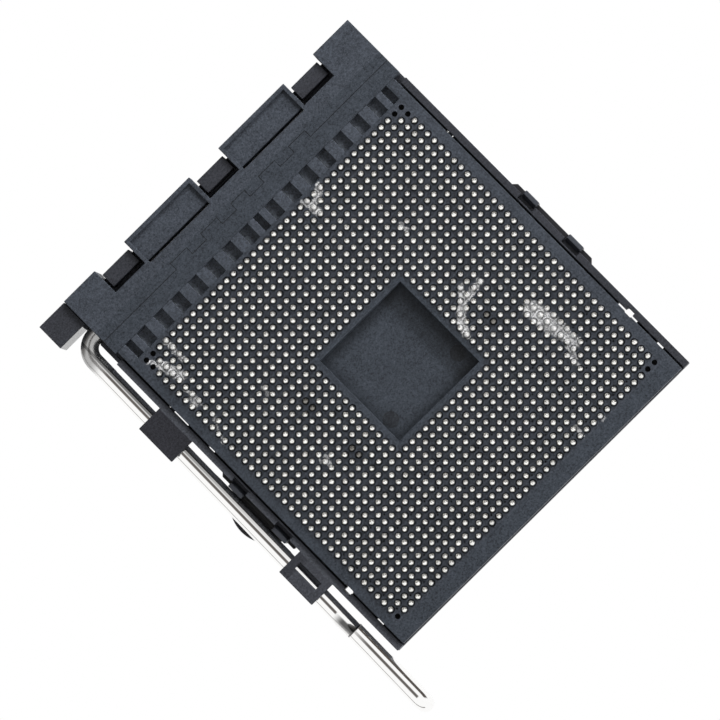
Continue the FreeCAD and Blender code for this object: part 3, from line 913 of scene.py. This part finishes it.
def rounded_route(corners: np.ndarray, radii: np.ndarray, steps: int) -> np.ndarray:
    """Straight runs joined by tangent arcs.

    At a corner where the heading turns by w from a to b, with n the part of b square to a, the arc
    starts at s = corner - a r tan(w / 2) and runs through s + a r sin u + n r (1 - cos u), for u from 0
    to w.

    Args:
        corners: rows of X, Y, Z.
        radii: the radius at each inner corner.
        steps: how many points an arc has.

    Returns:
        Rows of X, Y, Z.
    """
    runs = np.diff(corners, axis=0)
    runs /= np.linalg.norm(runs, axis=1)[:, None]
    heading, leaving = runs[:-1], runs[1:]
    cosine = np.einsum("ij,ij->i", heading, leaving)[:, None]
    square = leaving - heading * cosine
    square /= np.linalg.norm(square, axis=1)[:, None]
    turn = np.arccos(np.clip(cosine, -1, 1))
    radius = radii[:, None]
    start = corners[1:-1] - heading * radius * np.tan(turn / 2)
    angle = (turn * np.linspace(0, 1, steps))[..., None]
    forward = heading[:, None] * radius[:, None] * np.sin(angle)
    sideways = square[:, None] * radius[:, None] * (1 - np.cos(angle))
    arcs = (start[:, None] + forward + sideways).reshape(-1, 3)
    return np.concatenate([corners[:1], arcs, corners[-1:]])


def wire(route: np.ndarray, radius: float, edge: float, sides: int) -> Surface:
    """A round wire along a route, with its cut ends rounded.

    The ring at a point is the point + radius * (cos a n + sin a b), with n and b square to the heading,
    and n square to one fixed way that the wire never takes. Towards each end the ring's radius falls
    along a quarter circle of the edge's radius.

    Args:
        route: rows of X, Y, Z.
        radius: the wire's radius.
        edge: the radius of its cut edges.
        sides: the points in a ring.

    Returns:
        The closed wire.
    """
    heading = np.gradient(route, axis=0)
    heading /= np.linalg.norm(heading, axis=1)[:, None]
    quarter = np.linspace(0, math.pi / 2, WIRE_EDGE_RINGS)[:, None]
    inset = edge * (1 - np.sin(quarter))
    first = route[0] + heading[0] * inset[::-1]
    last = route[-1] - heading[-1] * inset
    centres = np.concatenate([first, route[1:-1], last])
    ends = [end.repeat(WIRE_EDGE_RINGS, 0) for end in (heading[:1], heading[-1:])]
    headings = np.concatenate([ends[0], heading[1:-1], ends[1]])
    flat = np.zeros((len(route) - 2, 1))
    taper = edge * (1 - np.sqrt(1 - (1 - inset / edge) ** 2))
    radii = radius - np.concatenate([taper[::-1], flat, taper])
    aside = np.cross(headings, WIRE_ASIDE)
    aside /= np.linalg.norm(aside, axis=1)[:, None]
    across = np.cross(headings, aside)
    turn = np.arange(sides)[None, :, None] * math.tau / sides
    ring = np.cos(turn) * aside[:, None] + np.sin(turn) * across[:, None]
    return closed_rings(centres[:, None] + ring * radii[:, None])


def placed(name: str, data: bpy.types.ID) -> bpy.types.Object:
    """Make an object and put it in the scene.

    Args:
        name: the object's name.
        data: its mesh, lamp or camera.

    Returns:
        The object.
    """
    made = bpy.data.objects.new(name, data)
    bpy.context.scene.collection.objects.link(made)
    return made


def dressed(piece: bpy.types.Object, material: bpy.types.Material, body: str) -> None:
    """Give a piece its material and body, and report it.

    Args:
        piece: the object.
        material: its only material.
        body: the body that it rides on.
    """
    piece.data.materials.clear()
    piece.data.materials.append(material)
    if "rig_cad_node" not in piece:
        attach(piece, body)
    LOG.info("%s: %d faces on %s", piece.name, len(piece.data.polygons), body)


@dataclass
class Carving:
    """A moulding that starts as a node's own shape and gets edge breaks and cuts."""

    node: str
    edge_break: float
    merge_distance: float = 0.0005
    flat_angle: float = 0.5
    shortest_edge: float = 0.25
    sharp_angle: float = 50.0
    smooth_angle: float = 32.0
    square_to_axes: float = 0.9995

    def merged_copy(self) -> bpy.types.Mesh:
        """Copy the node's mesh with its loose triangles merged and its flat faces whole.

        Every long outer edge gets the weight that the edge break reads.

        Returns:
            The copy.
        """
        shape = bmesh.new()
        shape.from_mesh(frame["nodes"][self.node].data)
        bmesh.ops.remove_doubles(shape, verts=shape.verts, dist=self.merge_distance * MM)
        flat = math.radians(self.flat_angle)
        bmesh.ops.dissolve_limit(shape, angle_limit=flat, verts=shape.verts, edges=shape.edges)
        weights = shape.edges.layers.float.new("bevel_weight_edge")
        for edge in shape.edges:
            outer = edge.is_manifold and edge.is_convex
            sharp = outer and edge.calc_face_angle() > math.radians(self.sharp_angle)
            edge[weights] = float(sharp and edge.calc_length() > self.shortest_edge * MM)
        made = bpy.data.meshes.new(self.node)
        shape.to_mesh(made)
        shape.free()
        if made.has_custom_normals:
            made.attributes.remove(made.attributes["custom_normal"])
        return made

    def carved(self, name: str, cutters: list[Surface]) -> bpy.types.Object:
        """Make the moulding.

        Args:
            name: the piece's name.
            cutters: closed surfaces to take away, one set after another.

        Returns:
            An object whose mesh is final.
        """
        rough = placed(name + "_rough", self.merged_copy())
        bevel = rough.modifiers.new("edge_break", "BEVEL")
        bevel.limit_method = "WEIGHT"
        bevel.width = self.edge_break * MM
        bevel.segments = 1
        bevel.use_clamp_overlap = False
        tools = [placed(f"{name}_cutter", cutter.mesh(name + "_cutter")) for cutter in cutters]
        for tool in tools:
            cut = rough.modifiers.new("cut", "BOOLEAN")
            cut.solver = "MANIFOLD"
            cut.operation = "DIFFERENCE"
            cut.object = tool
        evaluated = rough.evaluated_get(bpy.context.evaluated_depsgraph_get())
        final = bpy.data.meshes.new_from_object(evaluated)
        for tool in [rough, *tools]:
            bpy.data.objects.remove(tool)
        normals = np.empty(len(final.polygons) * 3)
        final.polygons.foreach_get("normal", normals)
        square = abs(normals.reshape(-1, 3)).max(axis=1) > self.square_to_axes
        final.set_sharp_from_angle(angle=math.radians(self.smooth_angle))
        final.polygons.foreach_set("use_smooth", ~square)
        return placed(name, final)


@dataclass
class BallGrid:
    """The solder balls, the pockets that they sit in, and the small holes between them."""

    rows: int = 39
    void_rows: int = 13
    pitch: float = 1.0
    board_face: float = 0.45
    radius: float = 0.345
    ball_rings: int = 6
    ball_sides: int = 10
    pocket_radius: float = 0.43
    pocket_depth: float = 0.5
    key_radius: float = 0.31
    key_depth: float = 1.1
    pocket_sides: int = 12
    hole_sides: int = 10
    dot_radius: float = 0.12
    dot_depth: float = 0.5
    dot_sides: int = 8
    dot_columns: int = 19
    dot_rows: int = 5
    dot_pitch: float = 2.0
    dot_middle: float = 0.5
    dot_start: float = -10.36
    overrun: float = 0.2
    corner_rows: int = 2
    size_spread: float = 0.03
    place_spread: float = 0.025
    polish_spread: float = 0.25
    dull_polish: float = 0.15
    seed: int = 7
    white: tuple = ((19, -18), (18, -19), (-18, -18), (-19, -18))
    dull: tuple = ((-10, -3), (-10, -4), (10, 4), (10, 3), (10, -3), (10, -4))

    def __post_init__(self) -> None:
        """Work out which places of the grid are filled."""
        last = self.rows // 2
        across, up = np.meshgrid(np.arange(-last, last + 1), np.arange(-last, last + 1), indexing="ij")
        void = (abs(across) <= self.void_rows // 2) & (abs(up) <= self.void_rows // 2)
        corner = (abs(across) == last) & (abs(up) == last)
        inner = (up == last) & (abs(across) == last - 1) | (up == last - 1) & (abs(across) == last)
        keyed = corner | inner | (across == 1 - last) & (up == -last)
        filled = ~(void | keyed)
        self.filled_places = np.stack([across[filled], up[filled]], axis=-1)
        self.key_places = np.stack([across[keyed], up[keyed]], axis=-1)
        self.at_corner = np.all(abs(self.filled_places) >= last - self.corner_rows, axis=1)

    def level(self, plan: np.ndarray) -> np.ndarray:
        """Grid places as X, Y, Z in millimetres, at height 0."""
        return np.column_stack([plan * self.pitch, np.zeros(len(plan))])

    def pockets(self) -> Surface:
        """Cut the ball pockets, the empty key holes and the small dots in the front rows.

        Returns:
            The cutters, as one surface.
        """
        face, start = self.board_face, self.board_face - self.overrun
        pocket = round_bar(self.pocket_radius, start, face + self.pocket_depth, self.pocket_sides)
        key = round_bar(self.key_radius, start, face + self.key_depth, self.pocket_sides)
        dot = round_bar(self.dot_radius, start, face + self.dot_depth, self.dot_sides)
        column, row = np.mgrid[0 : self.dot_columns, 0 : self.dot_rows].reshape(2, -1)
        x = (column - self.dot_columns // 2) * self.dot_pitch + self.dot_middle
        dots = np.stack([x, self.dot_start - self.dot_pitch * row, np.zeros(len(row))], axis=-1)
        cutters = pocket.repeated(self.level(self.filled_places))
        return cutters.joined(key.repeated(self.level(self.key_places)), dot.repeated(dots))

    def pin_holes(self, top: float, radius: float, depth: float) -> Surface:
        """Cutters for the holes in the cover that take the processor's pins."""
        hole = round_bar(radius, top - depth, top + self.overrun, self.hole_sides)
        return hole.repeated(self.level(self.filled_places))

    def listed(self, places: tuple) -> np.ndarray:
        """Which of the filled places are in a list."""
        wanted = np.array(places)
        return (self.filled_places[:, None] == wanted[None]).all(axis=2).any(axis=1)

    def build(self, material: bpy.types.Material) -> None:
        """Make the balls, in the same two groups as the nodes.

        Args:
            material: the solder.
        """
        rng = np.random.default_rng(self.seed)
        count = len(self.filled_places)
        sizes = self.radius * (1 + rng.uniform(-1, 1, count) * self.size_spread)
        shifts = rng.uniform(-1, 1, (count, 2)) * self.place_spread
        polish = 1 - rng.uniform(0, 1, count) ** 3 * self.polish_spread
        polish[self.listed(self.dull)] = self.dull_polish
        polish[self.listed(self.white)] = 1.0
        places = self.level(self.filled_places) + np.column_stack([shifts, sizes])
        template = ball(self.ball_rings, self.ball_sides)
        groups = (
            ("corner_balls", "corner_solder_balls", self.at_corner),
            ("field_balls", "solder_balls", ~self.at_corner),
        )
        for name, node, chosen in groups:
            scales = np.repeat(sizes[chosen][:, None], 3, axis=1)
            mesh = template.repeated(places[chosen], scales).mesh(name)
            values = np.repeat(polish[chosen], len(template.points)).astype(np.float32)
            mesh.attributes.new(POLISH, "FLOAT", "POINT").data.foreach_set("value", values)
            piece = placed(name, mesh)
            dressed(piece, material, "base")
            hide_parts(node)


@dataclass
class BaseHousing:
    """The base: a moulding with the ball field, its pockets and the head's fine parting line."""

    edge_break: float = 0.05
    seam_width: float = 0.07
    seam_depth: float = 0.06
    seam_front: float = 23.6
    seam_back: float = 24.5
    seam_steps: tuple = (1.0, 3.1, 5.5, 7.6, 10.0)
    overrun: float = 0.1

    def seam(self) -> Surface:
        """The parting line under the head: a groove that steps between two places in Y.

        Its steps lie at the listed X on both sides of the middle. Each step's X stands twice in the
        route, and Y runs front, front, back, back along it.

        Returns:
            Its cutter.
        """
        low, high = (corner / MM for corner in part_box("base_housing"))
        steps = np.array(self.seam_steps)
        steps = np.concatenate([-steps[::-1], steps]).repeat(2)
        x = np.array([low.x - self.overrun, *steps, high.x + self.overrun])
        y = np.resize([self.seam_front] * 2 + [self.seam_back] * 2, len(x))
        under, over = low.z - self.overrun, low.z + self.seam_depth
        return ribbon(np.stack([x, y], axis=-1), self.seam_width, under, over)

    def build(self, balls: BallGrid, material: bpy.types.Material) -> None:
        """Make the base.

        Args:
            balls: the grid whose pockets it has.
            material: its plastic.
        """
        carving = Carving("base_housing", self.edge_break)
        piece = carving.carved("base_moulding", [balls.pockets(), self.seam()])
        dressed(piece, material, "base")
        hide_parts("base_housing")


@dataclass
class SlideCover:
    """The sliding cover: a moulding with a hole for each processor pin."""

    edge_break: float = 0.05
    top: float = 3.75
    hole_radius: float = 0.26
    hole_depth: float = 0.9

    def build(self, balls: BallGrid, material: bpy.types.Material) -> None:
        """Make the cover.

        Args:
            balls: the grid whose places its holes have.
            material: its plastic.
        """
        holes = balls.pin_holes(self.top, self.hole_radius, self.hole_depth)
        piece = Carving("slide_cover", self.edge_break).carved("cover_moulding", [holes])
        dressed(piece, material, "cover")
        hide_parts("slide_cover")


@dataclass
class CamLever:
    """The lever: one bright wire with two cranks, a bend, a jog and a hairpin."""

    wire_radius: float = 0.975
    wire_sides: int = 40
    cut_edge: float = 0.12
    arc_steps: int = 14
    arm_root_x: float = 23.12
    arm_jog_x: float = 23.46
    return_x: float = 23.35
    arm_bend: float = 2.0
    crank_inner: float = 2.8
    crank_outer: float = 11.2
    crank_slope: float = 1.0
    crank_shift: float = 0.275
    crank_bend: float = 0.5
    jog_start: float = -14.3
    jog_end: float = -16.7
    jog_rise: float = 0.85
    jog_bend: float = 2.0
    hairpin_radius: float = 1.01
    return_end: float = -16.9

    def route(self) -> np.ndarray:
        """The wire's middle line, from the end of its shaft to the end of its return leg.

        Returns:
            Rows of X, Y, Z.
        """
        joint = next(one for one in frame["joints"] if one["name"] == "lever_swing")
        _, cam_y, cam_z = (value / MM for value in joint["pos_m"])
        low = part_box("cam_lever")[0] / MM
        tip = low.y + self.wire_radius
        corners = [(low.x, cam_y, cam_z)]
        shift = self.crank_shift
        for x0, x1 in ((-self.crank_outer, -self.crank_inner), (self.crank_inner, self.crank_outer)):
            corners += [(x0 - self.crank_slope, cam_y, cam_z), (x0, cam_y - shift, cam_z + shift)]
            corners += [(x1, cam_y - shift, cam_z + shift), (x1 + self.crank_slope, cam_y, cam_z)]
        radii = [self.crank_bend] * 8 + [self.arm_bend, self.jog_bend, self.jog_bend]
        radii += [self.hairpin_radius] * 2
        top, under = cam_z + self.jog_rise, cam_z + self.jog_rise - 2 * self.hairpin_radius
        corners += [(self.arm_root_x, cam_y, cam_z), (self.arm_jog_x, self.jog_start, cam_z)]
        corners += [(self.arm_jog_x, y, z) for y, z in ((self.jog_end, top), (tip, top), (tip, under))]
        corners.append((self.return_x, self.return_end, under))
        return rounded_route(np.array(corners), np.array(radii), self.arc_steps)

    def build(self, material: bpy.types.Material) -> None:
        """Make the lever.

        Args:
            material: its steel.
        """
        shape = wire(self.route(), self.wire_radius, self.cut_edge, self.wire_sides)
        piece = placed("lever_wire", shape.mesh("lever_wire"))
        dressed(piece, material, "lever")
        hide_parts("cam_lever")


@dataclass
class PickupCap:
    """The cap: a smooth black moulding."""

    edge_break: float = 0.08

    def build(self, material: bpy.types.Material) -> None:
        """Make the cap.

        Args:
            material: its plastic.
        """
        piece = Carving("pickup_cap", self.edge_break).carved("cap_moulding", [])
        dressed(piece, material, "cap")
        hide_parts("pickup_cap")


@dataclass(frozen=True)
class Lamp:
    """A square lamp that faces the socket, with the level that it gives a white face turned to it."""

    name: str
    direction: Triple
    size: float
    level: float
    distance: float = 350.0

    def build(self, target: Vector) -> None:
        """Hang the lamp.

        A lamp of power P at distance d lights a white face that is turned to it to P / (pi d) ** 2.

        Args:
            target: what it faces, in metres.
        """
        light = bpy.data.lights.new(self.name, "AREA")
        light.size = self.size * MM
        light.energy = self.level * (math.pi * self.distance * MM) ** 2
        lamp = placed(self.name, light)
        towards = Vector(self.direction).normalized()
        lamp.location = target + towards * self.distance * MM
        lamp.rotation_mode = "QUATERNION"
        lamp.rotation_quaternion = towards.to_track_quat("Z", "Y")
        lamp.visible_camera = False
        lamp.visible_glossy = False


class Way(Enum):
    """Ways to look from the socket, in its own frame."""

    TO_LEVER = (1, 0, 0)
    TO_HEAD = (0, 1, 0)
    UP = (0, 0, 1)
    DOWN = (0, 0, -1)


@dataclass(frozen=True)
class Band:
    """Headings whose share along one way lies between two limits, with soft edges."""

    way: Way
    low: float
    high: float
    soft: float

    def mask(self, heading: Place) -> Signal:
        """1 for a heading in the band and 0 outside it."""
        return heading.dot(self.way.value).between(self.low, self.high, self.soft)


@dataclass(frozen=True)
class Shade:
    """A dark part of the room that only gloss shows: where all of its bands overlap."""

    darkness: float
    bands: tuple[Band, ...]

    def mask(self, heading: Place) -> Signal:
        """How dark the room is towards a heading: the product of the bands and the darkness."""
        return reduce(operator.mul, [band.mask(heading) for band in self.bands]) * self.darkness


# The dark line along the arm's middle, the dark side away from the lever, the side beyond the head, and
# the thin line of the horizon along the arm's outer side.
SHADES = (
    Shade(
        0.92,
        (
            Band(Way.TO_LEVER, -0.2, 0.39, 0.22),
            Band(Way.TO_HEAD, -0.08, 0.24, 0.12),
            Band(Way.DOWN, 0.3, 2.0, 0.1),
        ),
    ),
    Shade(
        1.0,
        (
            Band(Way.TO_LEVER, -2.0, -0.74, 0.12),
            Band(Way.TO_HEAD, -0.5, 0.5, 0.2),
            Band(Way.UP, -0.6, 0.03, 0.08),
        ),
    ),
    Shade(0.8, (Band(Way.TO_HEAD, 0.52, 2.0, 0.25),)),
    Shade(0.75, (Band(Way.TO_LEVER, 0.4, 2.0, 0.1), Band(Way.UP, -0.06, 0.11, 0.06))),
)


@dataclass
class Studio:
    """The camera below the socket, a pale room, lamps below and above, and a floor seen from above."""

    camera_place: Triple = (-11.95, -43.84, -546.26)
    camera_target: Triple = (2.86, 3.0, 0.0)
    camera_up: Triple = (-0.7035, 0.7094, -0.0417)
    lens: float = 260.0
    sensor: float = 36.0
    nearest: float = 10.0
    farthest: float = 10000.0
    ambient: float = 0.13
    floor_drop: float = 0.05
    floor_size: float = 2400.0
    floor_fade: Pair = (60.0, 220.0)
    floor_tone: Colour = (0.92, 0.92, 0.92)
    white: Colour = (1.0, 1.0, 1.0)
    dark_tone: Colour = (0.055, 0.042, 0.034)
    shades: tuple[Shade, ...] = SHADES
    lamp_target: Triple = (0.0, 4.0, 2.5)
    lamps: tuple[Lamp, ...] = (
        Lamp("lower_key", (-0.66, 0.5, -0.54), 130.0, 0.7),
        Lamp("lower_side", (-0.72, -0.45, -0.42), 300.0, 0.8),
        Lamp("lower_edge", (-0.95, 0.0, -0.3), 400.0, 0.45),
        Lamp("lower_fill", (0.8, 0.0, -0.6), 300.0, 0.13),
        Lamp("upper_key", (0.5, -0.6, 0.9), 200.0, 0.45),
        Lamp("upper_side", (-0.7, 0.3, 0.7), 260.0, 0.25),
    )

    def build(self) -> None:
        """Set up the room."""
        bpy.context.scene.view_settings.view_transform = "Standard"
        self.add_camera()
        self.light_room()
        self.add_floor()
        target = Vector([value * MM for value in self.lamp_target])
        for lamp in self.lamps:
            lamp.build(target)

    def add_camera(self) -> None:
        """Put the camera where the photograph's was."""
        data = bpy.data.cameras.new("camera")
        data.lens = self.lens
        data.sensor_width = self.sensor
        data.clip_start = self.nearest * MM
        data.clip_end = self.farthest * MM
        place, target = Vector(self.camera_place) * MM, Vector(self.camera_target) * MM
        back = (place - target).normalized()
        right = Vector(self.camera_up).cross(back).normalized()
        turned = Matrix((right, back.cross(right), back)).transposed().to_4x4()
        camera = placed("camera", data)
        camera.matrix_world = Matrix.Translation(place) @ turned
        bpy.context.scene.camera = camera

    def light_room(self) -> None:
        """A white room for the eye and for gloss, with dark parts for gloss, and a weaker light."""
        world = bpy.data.worlds.new("room")
        bpy.context.scene.world = world
        tree = ShaderTree(world)
        path = tree.node("ShaderNodeLightPath", {}, {})
        names = ("Is Camera Ray", "Is Glossy Ray", "Is Transmission Ray")
        camera, glossy, through = (Signal(tree, path.outputs[name]) for name in names)
        heading = Place(tree, tree.node("ShaderNodeTexCoord", {}, {}).outputs["Generated"])
        dark = reduce(Signal.larger, [shade.mask(heading) for shade in self.shades])
        colour = (dark * glossy).mixed(self.white, self.dark_tone)
        seen = camera.larger(glossy).larger(through)
        strength = seen * (1 - self.ambient) + self.ambient
        shader = tree.node("ShaderNodeBackground", {}, {"Color": colour, "Strength": strength})
        tree.node("ShaderNodeOutputWorld", {}, {"Surface": shader})

    def add_floor(self) -> None:
        """A pale floor just under the balls, which shows from above only and fades into the room."""
        half = self.floor_size / 2
        plan = np.array([(-half, -half), (half, -half), (half, half), (-half, half)])
        points = np.column_stack([plan, np.full(4, -self.floor_drop)])
        mesh = Surface(points, [np.array([[0, 1, 2, 3]])], smooth=False).mesh("floor")
        material = bpy.data.materials.new("pale_floor")
        tree = ShaderTree(material)
        far = tree.millimetres().length().rise(*self.floor_fade)
        pale = tree.node("ShaderNodeBsdfDiffuse", {}, {"Color": (*self.floor_tone, 1)})
        white = tree.node("ShaderNodeEmission", {}, {"Color": (*self.white, 1)})
        clear = tree.node("ShaderNodeBsdfTransparent", {}, {})
        upper = tree.node("ShaderNodeMixShader", {}, {0: far, 1: pale, 2: white})
        under = Signal(tree, tree.node("ShaderNodeNewGeometry", {}, {}).outputs["Backfacing"])
        shader = tree.node("ShaderNodeMixShader", {}, {0: under, 1: upper, 2: clear})
        tree.node("ShaderNodeOutputMaterial", {}, {"Surface": shader})
        mesh.materials.append(material)
        floor = placed("floor", mesh)
        floor.visible_shadow = False
        floor.visible_diffuse = False
        floor.visible_glossy = False


@dataclass(frozen=True)
class Finishes:
    """Every finish of the socket."""

    base: Moulding = BaseMoulding((0.0445, 0.052, 0.0645))
    cover: Moulding = CoverMoulding((0.038, 0.040, 0.048))
    cap: Moulding = CapMoulding(
        (0.02, 0.02, 0.023), roughness=0.35, sheen_level=0.35, mottle=0.08, fleck=0.08, speck=0.05
    )
    solder: Solder = Solder()
    bright_wire: Metal = PolishedWire(
        (0.965, 0.96, 0.95), roughness=0.07, stretch=(1.0, 0.08, 1.0), marks=0.03, bump=0.001
    )
    stamped: Metal = Metal(
        (0.56, 0.56, 0.56), roughness=0.32, stretch=(0.1, 1.0, 1.0), marks=0.2, bump=0.01
    )


def main() -> None:
    """Build every piece, then the room round them."""
    logging.basicConfig(level=logging.INFO, format="%(message)s")
    finishes = Finishes()
    balls = BallGrid()
    balls.build(finishes.solder.material("solder"))
    BaseHousing().build(balls, finishes.base.material("base_plastic"))
    SlideCover().build(balls, finishes.cover.material("cover_plastic"))
    CamLever().build(finishes.bright_wire.material("lever_steel"))
    PickupCap().build(finishes.cap.material("cap_plastic"))
    stamped = finishes.stamped.material("cam_steel")
    for node, body in (("base_cam_plate", "base"), ("cover_cam_plate", "cover")):
        dressed(frame["nodes"][node], stamped, body)
    Studio().build()


if __name__ == "__main__":
    main()
